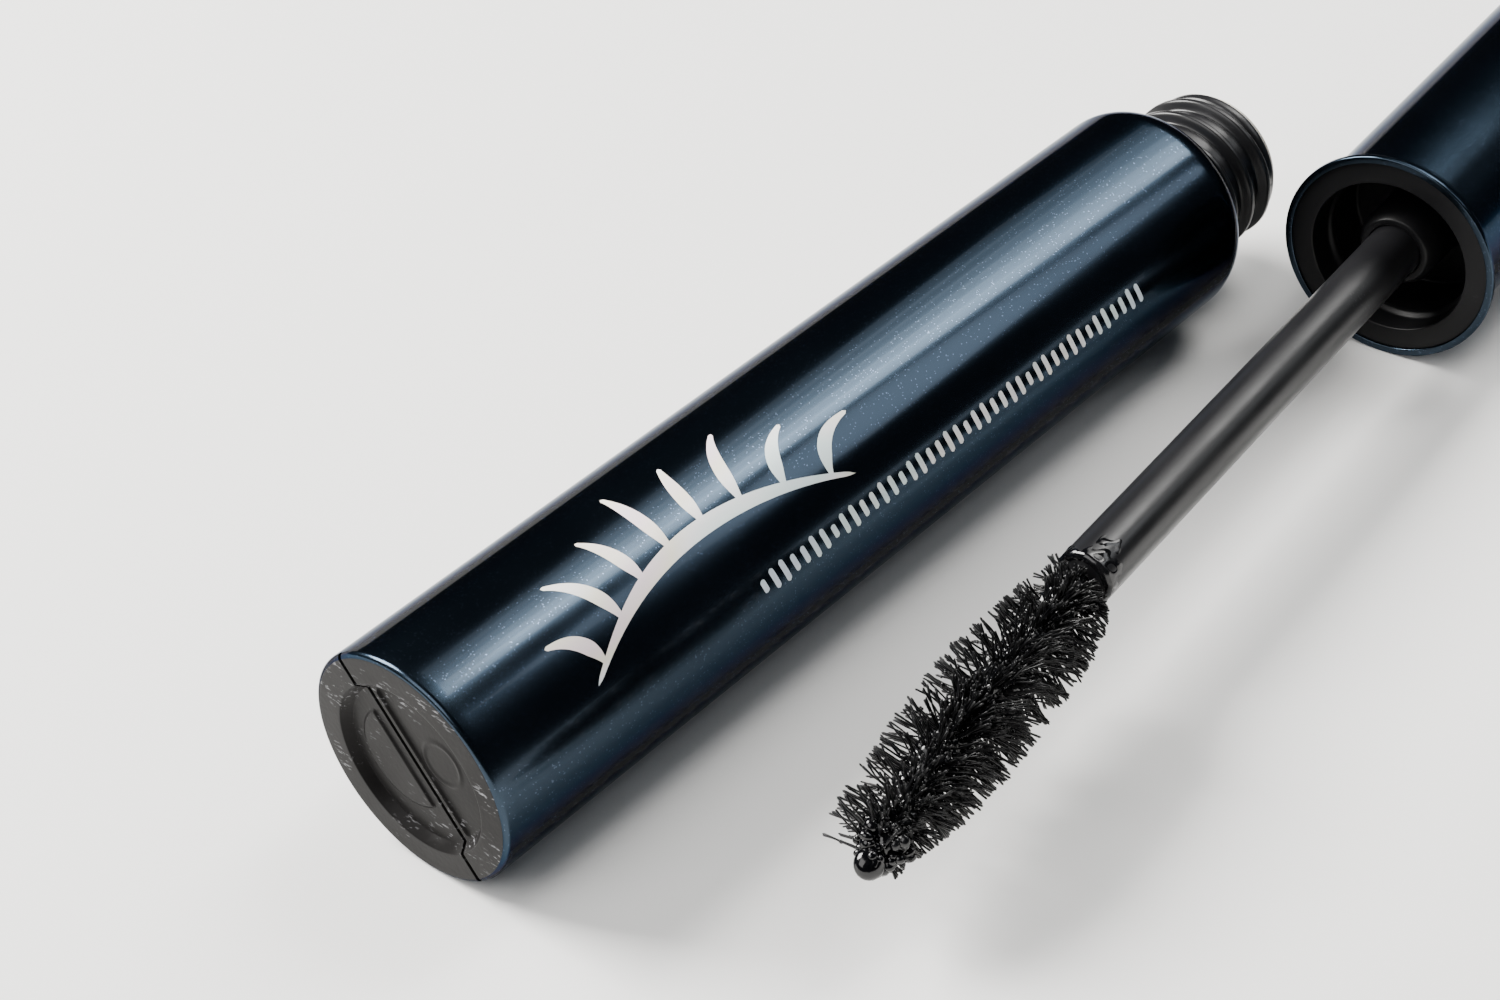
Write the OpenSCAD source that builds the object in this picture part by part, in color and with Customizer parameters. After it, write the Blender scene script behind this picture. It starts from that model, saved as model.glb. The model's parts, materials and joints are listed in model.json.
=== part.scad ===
// Mascara tube with its applicator drawn out and laid beside it.
// The bottle lies on its side along +X, base at the low X end, neck at the high X end.
// The applicator is modelled along its own axis: 0 at the cap's rim, + towards the closed end.

/* [Bottle] */
// Diameter of the bottle and of the cap's rim, which is flush with it when closed
bottle_d = 18; // [15:0.1:22]
// Length of the body, from the base to the flat of the shoulder
body_len = 85.6; // [70:0.1:110]
// Radius of the rounded shoulder, which takes the body in to the neck
shoulder_r = 3.25; // [2.7:0.05:3.9]
// Thickness of the body's wall
wall = 1.1; // [0.9:0.05:1.4]
// Thickness of the base
base_t = 1.9; // [1.6:0.1:3]
// Radius of the small rounding round the base
base_edge_r = 0.4; // [0.2:0.05:0.6]

/* [Base] */
// Diameter of the recessed panel in the base
recess_d = 13.2; // [10:0.2:14]
// Depth of the recessed panel
recess_depth = 0.7; // [0.3:0.1:0.9]
// Width of the pinch-off groove across the base
groove_w = 0.4; // [0.2:0.05:0.8]
// Depth of the pinch-off groove on the flat ring
groove_depth = 0.35; // [0.1:0.05:0.6]
// Turn of the groove from upright, towards +Y
groove_turn = 37.6; // [0:0.1:180]

/* [Neck] */
// Thickness of the neck's wall between its threads
neck_wall = 1; // [0.8:0.05:1.2]
// Length of the neck, from the shoulder to the lip
neck_len = 7.4; // [7.2:0.1:8.9]
// Height of a thread above the neck
thread_h = 0.75; // [0.6:0.05:0.9]
// Pitch of the thread
pitch = 2.4; // [2:0.1:2.5]
// Turns of thread on the neck
neck_turns = 2.5; // [1:0.25:2.5]
// Height of the bead round the lip above the neck
lip_rise = 0.4; // [0.2:0.05:0.45]

/* [Applicator] */
// Length of the cap, from its rim to its closed end
cap_len = 47; // [35:0.5:60]
// Thickness of the cap's outer shell
shell_t = 0.6; // [0.5:0.05:0.8]
// Thickness of the threaded liner inside the shell
liner_wall = 0.8; // [0.7:0.05:0.9]
// Diameter of the stem
stem_d = 4.45; // [3.7:0.05:5.4]
// Length of the stem that shows, from the cap's rim to the brush
stem_out = 46.7; // [38:0.1:56]
// Length of the bristles along the brush
brush_len = 28.6; // [23.8:0.1:34.4]
// Diameter of the brush at its middle
brush_d = 8.4; // [7:0.1:10.4]
// How much shorter the bristles are at the brush's ends
brush_rise = 1.2; // [1:0.05:1.5]
// How far the wire is bent aside at the brush's end
bend = 2.4; // [1:0.1:5]
// Turn of the bend from upright, away from the bottle
bend_turn = 122; // [60:1:180]
// Diameter of the twisted wire core
wire_d = 1.5; // [1.2:0.1:1.8]
// Diameter of the bead of formula on the tip
bead_d = 2; // [1.6:0.1:2.6]

/* [Fits] */
// Radial gap of a round piece that turns in another
running_gap = 0.04; // [0.02:0.01:0.08]
// Gap between the thread on the neck and the thread in the cap
thread_gap = 0.1; // [0.05:0.05:0.15]
// Gap between the cap's rim and the shoulder when closed
closing_gap = 0.3; // [0.1:0.1:0.6]

/* [Layout] */
// How far past the shoulder the cap's rim lies
rim_past_shoulder = 3.2; // [0:0.1:20]
// Gap between the bottle and the cap's rim beside it
lay_gap = 1.33; // [1:0.01:20]
// Angle between the applicator and the bottle, seen from above
yaw = 5.17; // [0:0.01:8]

/* [Hidden] */
$fn = 96;
eps = 0.01;
bottle_r = bottle_d / 2;
neck_r = bottle_r - shoulder_r;
neck_bore_r = neck_r - neck_wall;
lip_edge_r = 0.4;
lip_w = 1;
lip_r = neck_r + lip_rise;

// Wiper: a soft insert that lines the neck, with a flange on the lip
wiper_flange_t = 0.5;
wiper_wall = 0.85;
wiper_bore_r = neck_bore_r - wiper_wall;
wiper_straight = 6.6;
wiper_cone = 4;
wiper_land = 0.6;
wiper_land_wall = 0.5;
orifice_r = stem_d / 2 + 0.07;

// Thread sections
thread_root_w = 1.1;
thread_crest_w = 0.6;
thread_bite = 0.2;
thread_steps = 24;
thread_start = 0.6;
cap_turns = 1.25;

// Cap
rim_r = bottle_r;
rim_edge_t = 0.5;
rim_lip_w = 0.6;
liner_root_r = neck_r + thread_h + thread_gap;
liner_r = liner_root_r + liner_wall;
cap_r = liner_r + shell_t;
rim_flare = (rim_r - cap_r) * 1.4;
cap_end_r = 1;
cap_end_t = 1;
liner_flange_r = rim_r - rim_lip_w;
liner_flange_x = 0.15;
liner_flange_t = 0.6;
liner_len = 15;
liner_web_t = 1.5;
liner_web_x = neck_len + wiper_flange_t - closing_gap + 0.1;
boss_tip_r = stem_d / 2 + 0.675;
boss_r = boss_tip_r + 0.4;
boss_x = 1.2;
stem_in = 13;
socket_r = stem_d / 2 + running_gap;
seat_gap = 0.2;

// Brush
wire_in = 7;
wire_hole_r = wire_d / 2 + running_gap;
brush_x = -stem_out - seat_gap;
bead_bite = 0.1;
brush_steps = 5;
brush_fn = 64;
bend_lead = 1;
bend_r = ((brush_len - bend_lead) ^ 2 + bend ^ 2) / (2 * bend);

// Along the wire at length s from the brush's start: its angle, its shift aside and its place
function bend_angle(s) = max(0, s - bend_lead) / bend_r * 180 / PI;
function bend_aside(s) = bend_r * (1 - cos(bend_angle(s)));
function bend_x(s) = brush_x - min(s, bend_lead) - bend_r * sin(bend_angle(s));
function brush_r(s) = brush_d / 2 - brush_rise * (2 * s / brush_len - 1) ^ 2;

// How far towards -Y a disc of the brush reaches
function brush_low(s) = bend_x(s) * sin(yaw) - bend_aside(s) * sin(bend_turn) * cos(yaw)
    - brush_r(s) * sqrt(1 - (cos(bend_angle(s)) * sin(yaw) + sin(bend_angle(s)) * sin(bend_turn) * cos(yaw)) ^ 2);

// The whole object's outline on the ground gives the origin, at the middle of its box
rim_x = body_len + rim_past_shoulder;
rim_aside = bottle_r + rim_r + lay_gap;
far_x = rim_x + (cap_len - cap_end_r) * cos(yaw) + (cap_r - cap_end_r) * sin(yaw) + cap_end_r;
brush_low_y = -rim_aside + min([for (i = [0:brush_steps]) brush_low(i * brush_len / brush_steps)]);
origin = [far_x / 2, (bottle_r + brush_low_y) / 2, 0];

// Turns a shape drawn round Z so that it lies along +X
module along_x() {
    rotate([90, 0, 90]) children();
}

// Places the bottle's pieces
module on_bottle() {
    translate([0, 0, bottle_r] - origin) along_x() children();
}

// Places the applicator's pieces
module on_applicator() {
    translate([rim_x, -rim_aside, bottle_r] - origin) rotate([0, 0, yaw]) along_x() children();
}

// Points of an arc from angle a to angle b
function arc(x, y, r, a, b, n = 12) =
    [for (i = [0:n]) [x + r * cos(a + (b - a) * i / n), y + r * sin(a + (b - a) * i / n)]];

// A helical ridge: r0 is its foot, r1 its crest, z the height of its start
module ridge(r0, r1, z, turns) {
    n = round(turns * thread_steps);
    fade = 5;
    function lift(i) = max(0.1, min(1, i / fade, (n - i) / fade));
    function spot(r, i, h) =
        [r * cos(i * 360 / thread_steps), r * sin(i * 360 / thread_steps), z + i * pitch / thread_steps + h];
    function section(i) = let (top = r0 + (r1 - r0) * lift(i))
        [spot(r0, i, -thread_root_w / 2), spot(top, i, -thread_crest_w / 2),
         spot(top, i, thread_crest_w / 2), spot(r0, i, thread_root_w / 2)];
    points = [for (i = [0:n]) each section(i)];
    sides = [for (i = [0:n - 1]) for (k = [0:3])
        let (a = 4 * i + k, b = 4 * i + (k + 1) % 4) each [[a, a + 4, b], [b, a + 4, b + 4]]];
    ends = [[0, 1, 2], [0, 2, 3], [4 * n + 2, 4 * n + 1, 4 * n], [4 * n + 3, 4 * n + 2, 4 * n]];
    faces = concat(sides, ends);
    polyhedron(points, r1 < r0 ? faces : [for (f = faces) [f[2], f[1], f[0]]]);
}

// One-piece blow-moulded bottle with a threaded neck
module bottle() {
    color("#1b2a41") on_bottle() {
        difference() {
            rotate_extrude() polygon(concat(
                [[0, 0]],
                arc(bottle_r - base_edge_r, base_edge_r, base_edge_r, -90, 0, 6),
                arc(bottle_r - shoulder_r, body_len - shoulder_r, shoulder_r, 0, 90),
                [[neck_r, body_len], [neck_r, body_len + neck_len - lip_w - lip_rise],
                 [lip_r, body_len + neck_len - lip_w]],
                arc(lip_r - lip_edge_r, body_len + neck_len - lip_edge_r, lip_edge_r, 0, 90, 6),
                [[0, body_len + neck_len]]));
            // reservoir
            rotate_extrude() polygon(concat(
                [[0, base_t]],
                arc(bottle_r - wall - shoulder_r / 2, base_t + shoulder_r / 2, shoulder_r / 2, -90, 0),
                arc(bottle_r - shoulder_r, body_len - shoulder_r, shoulder_r - wall, 0, 90),
                [[neck_bore_r, body_len - wall], [0, body_len - wall]]));
            translate([0, 0, body_len - wall - eps])
                cylinder(h = neck_len + wall + 2 * eps, r = neck_bore_r);
            // recessed panel
            translate([0, 0, -eps])
                cylinder(h = recess_depth + eps, r1 = recess_d / 2, r2 = recess_d / 2 - recess_depth / 2);
            // pinch-off groove, deeper inside the panel
            rotate([0, 0, -groove_turn]) {
                translate([-groove_w / 2, -bottle_r, -eps]) cube([groove_w, bottle_d, groove_depth + eps]);
                translate([-groove_w / 2, -recess_d / 2 + recess_depth, 0])
                    cube([groove_w, recess_d - 2 * recess_depth, recess_depth + groove_depth]);
            }
        }
        ridge(neck_r - thread_bite, neck_r + thread_h, body_len + thread_start, neck_turns);
    }
}

// Soft insert that wipes the stem and the brush
module wiper() {
    top = body_len + neck_len + wiper_flange_t;
    cone_top = top - wiper_straight;
    land_top = cone_top - wiper_cone;
    foot = land_top - wiper_land;
    color("#e8e6e0") on_bottle() rotate_extrude() polygon([
        [orifice_r, foot], [orifice_r + wiper_land_wall, foot],
        [neck_bore_r - wiper_land_wall, cone_top - wiper_land], [neck_bore_r, cone_top],
        [neck_bore_r, top - wiper_flange_t], [lip_r - lip_edge_r, top - wiper_flange_t],
        [lip_r - lip_edge_r, top], [wiper_bore_r, top],
        [wiper_bore_r, cone_top], [orifice_r, land_top]]);
}

// Lacquered outer shell of the cap, flared into a thin rim
module cap_shell() {
    color("#1b2a41") on_applicator() rotate_extrude() polygon(concat(
        [[liner_flange_r, 0], [rim_r, 0], [rim_r, rim_edge_t]],
        arc(cap_r + rim_flare, rim_edge_t + rim_flare, rim_flare, 240, 180),
        arc(cap_r - cap_end_r, cap_len - cap_end_r, cap_end_r, 0, 90),
        [[0, cap_len], [0, cap_len - cap_end_t], [liner_r, cap_len - cap_end_t],
         [liner_r, liner_flange_x + liner_flange_t], [liner_flange_r, liner_flange_x + liner_flange_t]]));
}

// Threaded liner pressed into the shell, with a socket for the stem
module inner_cap() {
    web_top = liner_web_x + liner_web_t;
    color("#16171a") on_applicator() {
        rotate_extrude() polygon([
            [liner_root_r, liner_flange_x], [liner_flange_r, liner_flange_x],
            [liner_flange_r, liner_flange_x + liner_flange_t], [liner_r, liner_flange_x + liner_flange_t],
            [liner_r, liner_len], [liner_root_r, liner_len], [liner_root_r, web_top],
            [boss_r, web_top], [boss_r, liner_len], [socket_r, liner_len], [socket_r, boss_x],
            [boss_tip_r, boss_x], [boss_r, boss_x + (boss_r - boss_tip_r) * 2],
            [boss_r, liner_web_x], [liner_root_r, liner_web_x]]);
        ridge(liner_root_r + thread_bite, lip_r + thread_gap,
            thread_start - closing_gap + pitch / 2, cap_turns);
    }
}

// Plain round rod that carries the brush
module stem() {
    tip_r = 0.5;
    color("#16171a") on_applicator() difference() {
        rotate_extrude() polygon(concat(
            [[0, -stem_out]],
            arc(stem_d / 2 - tip_r, tip_r - stem_out, tip_r, -90, 0, 6),
            [[stem_d / 2, stem_in], [0, stem_in]]));
        translate([0, 0, -stem_out - eps]) cylinder(h = wire_in + seat_gap + eps, r = wire_hole_r);
    }
}

// Places a shape on the bent wire at length s from the brush's start, its -Z along the wire
module on_wire(s) {
    rotate([0, 0, 90 + bend_turn]) translate([bend_aside(s), 0, bend_x(s)]) rotate([0, -bend_angle(s), 0]) children();
}

// The wire's rod: straight in the stem, then an arc to the end of the brush
module wire_rod() {
    rotate([0, 0, 90 + bend_turn]) {
        translate([0, 0, brush_x - bend_lead]) cylinder(h = bend_lead + wire_in, r = wire_d / 2);
        translate([bend_r, 0, brush_x - bend_lead]) rotate([90, 180, 0])
            rotate_extrude(angle = bend_angle(brush_len)) translate([bend_r, 0]) circle(r = wire_d / 2);
    }
}

// Twisted wire, drawn as the round rod that its two strands fill
module wire_core() {
    color("#8a8d91") on_applicator() wire_rod();
}

// Space filled by the bristles, round the wire
module bristles() {
    step = brush_len / brush_steps;
    color("#0d0d0f") on_applicator() difference() {
        for (i = [0:brush_steps - 1]) hull() for (s = [i * step, (i + 1) * step])
            on_wire(s) cylinder(h = eps, r = brush_r(s), $fn = brush_fn);
        wire_rod();
    }
}

// Bead of formula on the brush's tip
module formula_bead() {
    color("#0d0d0f") on_applicator() on_wire(brush_len) difference() {
        translate([0, 0, bead_bite - bead_d / 2]) sphere(r = bead_d / 2);
        cylinder(h = bead_d, r = bead_d);
    }
}

bottle();
wiper();
cap_shell();
inner_cap();
stem();
wire_core();
bristles();
formula_bead();
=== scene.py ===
# %% [markdown]
# # An opened mascara tube
# The bottle lies on its side and the applicator, drawn out, lies beside it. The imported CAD
# model gives every size and place, and this lesson grows the fine surfaces over it: lacquer,
# a moulded base, threads, a foil ornament, and a brush of about two thousand fibres.

# %% Load the frame
import json
import math
import bmesh
import bpy
import numpy as np
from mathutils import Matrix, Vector


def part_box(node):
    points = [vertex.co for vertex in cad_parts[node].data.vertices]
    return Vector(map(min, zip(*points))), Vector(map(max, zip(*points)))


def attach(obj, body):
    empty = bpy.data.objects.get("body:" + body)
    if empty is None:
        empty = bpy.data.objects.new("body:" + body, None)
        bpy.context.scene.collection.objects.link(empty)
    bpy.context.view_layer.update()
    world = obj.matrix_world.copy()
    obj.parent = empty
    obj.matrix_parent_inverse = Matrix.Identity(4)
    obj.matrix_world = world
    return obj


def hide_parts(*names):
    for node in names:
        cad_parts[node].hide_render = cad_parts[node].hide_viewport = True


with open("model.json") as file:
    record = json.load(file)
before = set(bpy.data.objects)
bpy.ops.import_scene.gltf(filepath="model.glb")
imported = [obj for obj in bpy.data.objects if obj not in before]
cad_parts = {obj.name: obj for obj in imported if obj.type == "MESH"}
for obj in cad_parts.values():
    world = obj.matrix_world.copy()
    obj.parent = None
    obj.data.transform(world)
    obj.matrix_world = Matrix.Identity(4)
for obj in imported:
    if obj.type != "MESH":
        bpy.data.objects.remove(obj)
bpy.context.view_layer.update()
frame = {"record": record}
MM = 0.001

# %% [markdown]
# ## Two axes
# Everything here is round about one of two lines: the bottle's axis and the applicator's.
# A point is then easy to name by how far along the line it is, how far out, and how far
# round, counted from straight up. The bottle's line comes from its box and the applicator's
# from the joint that turns it, so both follow the CAD model if it changes.

# %% The bottle's axis and the applicator's
UP = np.array([0.0, 0.0, 1.0])


class Axis:
    """A line to build round: foot is its zero, along its direction, side the level direction
    at a quarter turn from straight up, on the right of the line."""

    def __init__(self, foot, along):
        self.foot = np.array(foot, float)
        self.along = np.array(along, float) / np.linalg.norm(along)
        self.side = np.cross(self.along, UP)

    def place(self, x, out, turn):
        """foot + x along + out (cos turn, up, and sin turn, sideways), from millimetres."""
        x, out, turn = np.broadcast_arrays(x, out, turn)
        ray = np.cos(turn)[..., None] * UP + np.sin(turn)[..., None] * self.side
        return self.foot + MM * (x[..., None] * self.along + out[..., None] * ray)


class BentAxis(Axis):
    """The wire's line: straight down to x = start, then an arc of the given radius that turns
    away in the direction of aside. Past start, x is the length along the arc."""

    def __init__(self, straight, start, radius, aside):
        super().__init__(straight.foot, straight.along)
        self.start, self.radius = start, radius
        self.aside = np.cos(aside) * UP + np.sin(aside) * self.side

    def place(self, x, out, turn):
        """The arc's centre line, plus the ray from the line, turned with it."""
        x, out, turn = np.broadcast_arrays(x, out, turn)
        angle = np.maximum(self.start - x, 0)[..., None] / self.radius
        straight = np.maximum(x, self.start)[..., None] - self.radius * np.sin(angle)
        centre = straight * self.along + self.radius * (1 - np.cos(angle)) * self.aside
        ray = np.cos(turn)[..., None] * UP + np.sin(turn)[..., None] * self.side
        share = ray @ self.aside
        bent = np.cos(angle) * self.aside + np.sin(angle) * self.along
        ray = ray + share[..., None] * (bent - self.aside)
        return self.foot + MM * (centre + out[..., None] * ray)


low, high = (np.array(corner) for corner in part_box("bottle"))
bottle_axis = Axis([low[0], (low[1] + high[1]) / 2, (low[2] + high[2]) / 2], [1, 0, 0])
BOTTLE_R = (high[2] - low[2]) / 2 / MM
BOTTLE_LEN = (high[0] - low[0]) / MM
joints = {joint["name"]: joint for joint in frame["record"]["behaviour"]["joints"]}
turning = joints["applicator_turn"]
applicator_axis = Axis(turning["pos_m"], turning["axis"])
print("bottle radius and length, mm:", round(BOTTLE_R, 2), round(BOTTLE_LEN, 2))

# %% [markdown]
# ## From a grid of points to a piece
# A surface is a grid: rows along a profile, columns round the axis. Neighbouring points make
# a quad. Where a row shrinks to the axis its points meet, and merging them closes the pole;
# the same merge closes a seam. Faces are then turned outwards and edges sharper than a given
# angle are kept crisp.

# %% Grid tools
def quads(rows, cols, wrap=True):
    """Each quad joins a point, its neighbour in the row, and the two points of the next row."""
    i, j = np.meshgrid(np.arange(rows - 1), np.arange(cols if wrap else cols - 1), indexing="ij")
    k = (j + 1) % cols
    corners = [i * cols + j, i * cols + k, (i + 1) * cols + k, (i + 1) * cols + j]
    return np.stack(corners, -1).reshape(-1, 4)


def join(shapes):
    """Several (points, quads) pairs as one, each quad's numbers moved past the points before it."""
    starts = np.cumsum([0] + [len(points) for points, _ in shapes[:-1]])
    return (np.vstack([points for points, _ in shapes]),
            np.vstack([corners + start for (_, corners), start in zip(shapes, starts)]))


def make_piece(name, points, corners, materials, finish=None, merge=True, sharp=35):
    """Puts points and quads into a mesh. finish gives each quad's material number."""
    mesh = bpy.data.meshes.new(name)
    mesh.from_pydata(points.reshape(-1, 3).tolist(), [], corners.tolist())
    for material in materials:
        mesh.materials.append(material)
    if finish is not None:
        mesh.polygons.foreach_set("material_index", finish.astype(np.int32))
    if merge:
        work = bmesh.new()
        work.from_mesh(mesh)
        bmesh.ops.remove_doubles(work, verts=work.verts, dist=2e-7)
        bmesh.ops.recalc_face_normals(work, faces=work.faces)
        work.to_mesh(mesh)
        work.free()
    mesh.shade_smooth()
    mesh.set_sharp_from_angle(angle=math.radians(sharp))
    piece = bpy.data.objects.new(name, mesh)
    bpy.context.scene.collection.objects.link(piece)
    print(f"{name}: {len(mesh.polygons)} faces")
    return piece


def place_piece(piece, body, slot, *nodes):
    """The piece moves with body and stands for the CAD nodes, which it hides. slot is not used."""
    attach(piece, body)
    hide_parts(*nodes)


def arc(x, out, radius, start, end, count=8):
    """Points of a circle about (x, out), from angle start to end in degrees, 0 being along."""
    angle = np.radians(np.linspace(start, end, count))
    return np.stack([x + radius * np.cos(angle), out + radius * np.sin(angle)], -1)


def line(x0, out0, x1, out1, count=2):
    """Evenly spaced points from (x0, out0) to (x1, out1)."""
    return np.stack([np.linspace(x0, x1, count), np.linspace(out0, out1, count)], -1)


def closed(*parts):
    """Lines and arcs one after another, and the first point again."""
    profile = np.vstack(parts)
    return np.vstack([profile, profile[:1]])


def ramp(value, start, end):
    """0 before start, 1 after end, and an S curve between them."""
    t = np.clip((value - start) / (end - start), 0, 1)
    return t * t * (3 - 2 * t)


def turned(axis, profile, cols=128, swell=None):
    """A profile of (x, out) points spun round the axis, from a pole or closed on itself.
    swell(x, out, turn) gives what is added to out."""
    turn = np.linspace(0, 2 * np.pi, cols, endpoint=False)
    x, out = profile[:, 0, None], profile[:, 1, None]
    added = 0 if swell is None else swell(x, out, turn)
    return axis.place(x, out + added, turn), quads(len(profile), cols)


# %% [markdown]
# ## Wear and dirt, shared by the finishes
# Real plastic is never one even value. Three small node groups give the finishes their
# variation: a cloudy smudge mask from soft noise, fine scratches from noise stretched along
# one way, and flakes, which are a few cells picked at random. Each is built once and used
# with its own values.

# %% Node helpers
def new_material(name):
    """A material with a Principled shader, and the pieces needed to wire it."""
    material = bpy.data.materials.new(name)
    material.use_nodes = True
    tree = material.node_tree
    return material, tree, tree.nodes["Principled BSDF"]


def wire(tree, source, output, target, socket):
    """Joins one node's output to another's input."""
    tree.links.new(source.outputs[output], target.inputs[socket])


def settle(shader, **values):
    """Sets plain values on a shader's sockets; an underscore stands for a space."""
    for key, value in values.items():
        shader.inputs[key.replace("_", " ")].default_value = value


def new_group(name, inputs, outputs):
    """A shader node group with float inputs {name: default} and outputs {name: socket type}."""
    group = bpy.data.node_groups.new(name, "ShaderNodeTree")
    for key, value in inputs.items():
        socket = group.interface.new_socket(key, in_out="INPUT", socket_type="NodeSocketFloat")
        socket.default_value = value
    for key, kind in outputs.items():
        group.interface.new_socket(key, in_out="OUTPUT", socket_type=kind)
    return group, group.nodes.new("NodeGroupInput"), group.nodes.new("NodeGroupOutput")


def use_group(tree, group, **values):
    """Places the group in a material with its own values."""
    node = tree.nodes.new("ShaderNodeGroup")
    node.node_tree = group
    for key, value in values.items():
        node.inputs[key].default_value = value
    return node


def map_range(tree, low_in, high_in, low_out, high_out):
    """A Map Range node with these four values."""
    node = tree.nodes.new("ShaderNodeMapRange")
    values = {"From Min": low_in, "From Max": high_in, "To Min": low_out, "To Max": high_out}
    for key, value in values.items():
        node.inputs[key].default_value = value
    return node


def mix_colors(tree, first, second):
    """A Mix node between two colours, driven by its Factor."""
    node = tree.nodes.new("ShaderNodeMix")
    node.data_type = "RGBA"
    node.inputs[6].default_value = (*first, 1)
    node.inputs[7].default_value = (*second, 1)
    return node


def vary_color(tree, shader, mask, first, second, output="Mask"):
    """Base colour: the first where the mask is 0 and the second where it is 1."""
    tint = mix_colors(tree, first, second)
    wire(tree, mask, output, tint, "Factor")
    tree.links.new(tint.outputs[2], shader.inputs["Base Color"])


def vary_roughness(tree, shader, mask, low, high):
    """Roughness: low where the mask is 0 and high where it is 1."""
    gloss = map_range(tree, 0, 1, low, high)
    wire(tree, mask, "Mask", gloss, "Value")
    wire(tree, gloss, "Result", shader, "Roughness")


def add_bump(tree, shader, source, output, strength, distance):
    """Raises the surface by a height, through a Bump node into the shader's normal."""
    node = tree.nodes.new("ShaderNodeBump")
    node.inputs["Strength"].default_value = strength
    node.inputs["Distance"].default_value = distance
    wire(tree, source, output, node, "Height")
    tree.links.new(node.outputs["Normal"], shader.inputs["Normal"])
    return node


# %% The shared groups: smudge, scratches and flakes
smudge, cue, result = new_group("Smudge", {"Scale": 60.0, "Edge": 0.5}, {"Mask": "NodeSocketFloat"})
spot = smudge.nodes.new("ShaderNodeTexCoord")
cloud = smudge.nodes.new("ShaderNodeTexNoise")
cloud.inputs["Detail"].default_value = 5
wire(smudge, spot, "Object", cloud, "Vector")
wire(smudge, cue, "Scale", cloud, "Scale")
lift = map_range(smudge, 0.5, 0.75, 0, 1)
wire(smudge, cloud, "Fac", lift, "Value")
wire(smudge, cue, "Edge", lift, "From Min")
wire(smudge, lift, "Result", result, "Mask")

scratches, cue, result = new_group("Scratches", {"Scale": 400.0, "Stretch": 0.08},
                                   {"Mask": "NodeSocketFloat"})
spot = scratches.nodes.new("ShaderNodeTexCoord")
slant = scratches.nodes.new("ShaderNodeVectorMath")
slant.operation = "MULTIPLY"
squeeze = scratches.nodes.new("ShaderNodeCombineXYZ")
squeeze.inputs["X"].default_value = 1
squeeze.inputs["Z"].default_value = 1
wire(scratches, cue, "Stretch", squeeze, "Y")
wire(scratches, spot, "Object", slant, 0)
wire(scratches, squeeze, "Vector", slant, 1)
grain = scratches.nodes.new("ShaderNodeTexNoise")
grain.inputs["Detail"].default_value = 3
wire(scratches, slant, "Vector", grain, "Vector")
wire(scratches, cue, "Scale", grain, "Scale")
thin = map_range(scratches, 0.58, 0.66, 0, 1)
wire(scratches, grain, "Fac", thin, "Value")
wire(scratches, thin, "Result", result, "Mask")

flakes, cue, result = new_group("Flakes", {"Scale": 9000.0, "Share": 0.04}, {"Mask": "NodeSocketFloat"})
spot = flakes.nodes.new("ShaderNodeTexCoord")
cells = flakes.nodes.new("ShaderNodeTexVoronoi")
wire(flakes, spot, "Object", cells, "Vector")
wire(flakes, cue, "Scale", cells, "Scale")
split = flakes.nodes.new("ShaderNodeSeparateColor")
wire(flakes, cells, "Color", split, "Color")
few = flakes.nodes.new("ShaderNodeMath")
few.operation = "LESS_THAN"
wire(flakes, split, "Red", few, 0)
wire(flakes, cue, "Share", few, 1)
wire(flakes, few, "Value", result, "Mask")
print("shared groups:", [group.name for group in bpy.data.node_groups])

# %% [markdown]
# ## Navy lacquer
# The bottle and the cap wear a deep blue metallic lacquer under a clear gloss. A metallic base
# gives the blue tint to its reflections and the clear coat adds a sharp white one on top.
# A few flakes glint, and faint smudges change the roughness so that highlights aren't dead even.

# %% Lacquer
lacquer, tree, shader = new_material("navy lacquer")
settle(shader, Metallic=0.98, Coat_Weight=0.15, Coat_Roughness=0.03, Coat_IOR=1.36)
shader.inputs["Specular Tint"].default_value = (0.20, 0.24, 0.30, 1)
glint = use_group(tree, flakes, Scale=13000.0, Share=0.02)
vary_color(tree, shader, glint, (0.024, 0.036, 0.051), (0.07, 0.095, 0.14))
haze = use_group(tree, smudge, Scale=55.0, Edge=0.42)
vary_roughness(tree, shader, haze, 0.16, 0.24)
print(lacquer.name)

# %% [markdown]
# ## Black plastics
# The base is bare moulded plastic, dark brown grey, scuffed by the mould and by use: pale
# scratches change its colour and a fine grain its height. The stem and the neck are the
# same plastic with a satin gloss. The cap's liner is that black plastic made duller, and its
# darker colour is painted shade for the inside of the cap.

# %% Bare base, satin black for the stem and the neck, and the liner's black
def black_plastic(name, color, worn, rough, ior, grain_scale, grain_depth, scuff_edge, spec=0.5):
    """Dark plastic: scratches pale the colour, smudges vary the gloss, noise raises a grain."""
    material, tree, shader = new_material(name)
    settle(shader, IOR=ior, Specular_IOR_Level=spec)
    marks = use_group(tree, scratches, Scale=4500.0, Stretch=0.3)
    patch = use_group(tree, smudge, Scale=230.0, Edge=scuff_edge)
    both = tree.nodes.new("ShaderNodeMath")
    both.operation = "MULTIPLY"
    wire(tree, marks, "Mask", both, 0)
    wire(tree, patch, "Mask", both, 1)
    vary_color(tree, shader, both, color, worn, output="Value")
    haze = use_group(tree, smudge, Scale=120.0, Edge=0.4)
    vary_roughness(tree, shader, haze, rough, rough + 0.14)
    spot = tree.nodes.new("ShaderNodeTexCoord")
    grain = tree.nodes.new("ShaderNodeTexNoise")
    grain.inputs["Scale"].default_value = grain_scale
    wire(tree, spot, "Object", grain, "Vector")
    add_bump(tree, shader, grain, "Fac", 0.5, grain_depth)
    return material


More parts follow.
